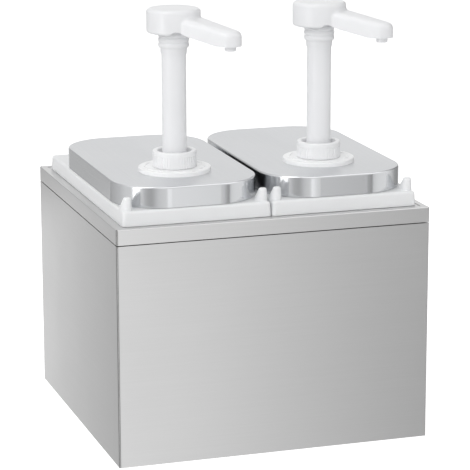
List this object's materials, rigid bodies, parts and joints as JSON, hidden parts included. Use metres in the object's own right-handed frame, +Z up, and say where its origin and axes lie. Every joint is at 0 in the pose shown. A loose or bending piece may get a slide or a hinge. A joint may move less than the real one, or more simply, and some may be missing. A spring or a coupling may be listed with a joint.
{
  "type": "sauce dispenser",
  "caption": "Countertop sauce dispenser: a brushed steel housing holding side-by-side plastic containers, each under a steel lid with a push-down pump and a swivelling spout.",
  "frame": {"origin": "centre of the housing's underside, on the counter", "axes": "+Z up, -Y the front with the horns and spouts, +X to the right seen from the front"},
  "size_m": [0.27, 0.265, 0.3658],
  "materials": {
    "housing_steel": "brushed",
    "lid_steel": "satin",
    "container_plastic": "milky, lets a little light through",
    "pump_plastic": "semi-gloss white",
    "seal_rubber": "matte",
    "spring_steel": "drawn wire",
    "ball_steel": "polished"
  },
  "bodies": {
    "housing": {"housing_body": "housing_steel", "top_frame": "housing_steel", "base_plate": "housing_steel"},
    "left_container_unit": {"left_container": "container_plastic"},
    "left_lid_unit": {"left_lid": "lid_steel", "left_flange_disc": "pump_plastic", "left_neck_gasket": "seal_rubber", "left_cylinder": "pump_plastic", "left_valve_body": "pump_plastic", "left_ball_retainer": "pump_plastic", "left_dip_tube": "pump_plastic", "left_return_spring": "spring_steel"},
    "left_collar": {"left_collar_nut": "pump_plastic"},
    "left_plunger": {"left_piston": "pump_plastic", "left_piston_seal": "seal_rubber"},
    "left_head_unit": {"left_stem": "pump_plastic", "left_lock_sleeve": "pump_plastic", "left_head": "pump_plastic", "left_nozzle": "pump_plastic"},
    "left_inlet_valve": {"left_inlet_ball": "ball_steel"},
    "left_outlet_valve": {"left_outlet_ball": "ball_steel"},
    "right_container_unit": {"right_container": "container_plastic"},
    "right_lid_unit": {"right_lid": "lid_steel", "right_flange_disc": "pump_plastic", "right_neck_gasket": "seal_rubber", "right_cylinder": "pump_plastic", "right_valve_body": "pump_plastic", "right_ball_retainer": "pump_plastic", "right_dip_tube": "pump_plastic", "right_return_spring": "spring_steel"},
    "right_collar": {"right_collar_nut": "pump_plastic"},
    "right_plunger": {"right_piston": "pump_plastic", "right_piston_seal": "seal_rubber"},
    "right_head_unit": {"right_stem": "pump_plastic", "right_lock_sleeve": "pump_plastic", "right_head": "pump_plastic", "right_nozzle": "pump_plastic"},
    "right_inlet_valve": {"right_inlet_ball": "ball_steel"},
    "right_outlet_valve": {"right_outlet_ball": "ball_steel"}
  },
  "joints": [
    {"name": "left_container_lift", "type": "slide", "parent": "housing", "child": "left_container_unit", "axis": [0, 0, 1], "range_m": [0, 0.2]},
    {"name": "left_lid_lift", "type": "slide", "parent": "left_container_unit", "child": "left_lid_unit", "axis": [0, 0, 1], "range_m": [0, 0.2]},
    {"name": "left_collar_turn", "type": "hinge", "parent": "left_lid_unit", "child": "left_collar", "pos_m": [-0.06375, -0.0565, 0.238], "axis": [0, 0, 1], "range_deg": [0, 540]},
    {"name": "left_pump_stroke", "type": "slide", "parent": "left_lid_unit", "child": "left_plunger", "axis": [0, 0, -1], "range_m": [0, 0.08], "stiffness_N_per_m": 200, "springref_m": -0.03, "deforming": ["left_return_spring"]},
    {"name": "left_head_swivel", "type": "hinge", "parent": "left_plunger", "child": "left_head_unit", "pos_m": [-0.06375, -0.0565, 0.2376], "axis": [0, 0, 1], "continuous": true},
    {"name": "left_inlet_ball_lift", "type": "slide", "parent": "left_lid_unit", "child": "left_inlet_valve", "axis": [0, 0, 1], "range_m": [0, 0.0045]},
    {"name": "left_outlet_ball_lift", "type": "slide", "parent": "left_plunger", "child": "left_outlet_valve", "axis": [0, 0, 1], "range_m": [0, 0.004]},
    {"name": "right_container_lift", "type": "slide", "parent": "housing", "child": "right_container_unit", "axis": [0, 0, 1], "range_m": [0, 0.2]},
    {"name": "right_lid_lift", "type": "slide", "parent": "right_container_unit", "child": "right_lid_unit", "axis": [0, 0, 1], "range_m": [0, 0.2]},
    {"name": "right_collar_turn", "type": "hinge", "parent": "right_lid_unit", "child": "right_collar", "pos_m": [0.06375, -0.0565, 0.238], "axis": [0, 0, 1], "range_deg": [0, 540]},
    {"name": "right_pump_stroke", "type": "slide", "parent": "right_lid_unit", "child": "right_plunger", "axis": [0, 0, -1], "range_m": [0, 0.08], "stiffness_N_per_m": 200, "springref_m": -0.03, "deforming": ["right_return_spring"]},
    {"name": "right_head_swivel", "type": "hinge", "parent": "right_plunger", "child": "right_head_unit", "pos_m": [0.06375, -0.0565, 0.2376], "axis": [0, 0, 1], "continuous": true},
    {"name": "right_inlet_ball_lift", "type": "slide", "parent": "right_lid_unit", "child": "right_inlet_valve", "axis": [0, 0, 1], "range_m": [0, 0.0045]},
    {"name": "right_outlet_ball_lift", "type": "slide", "parent": "right_plunger", "child": "right_outlet_valve", "axis": [0, 0, 1], "range_m": [0, 0.004]}
  ]
}
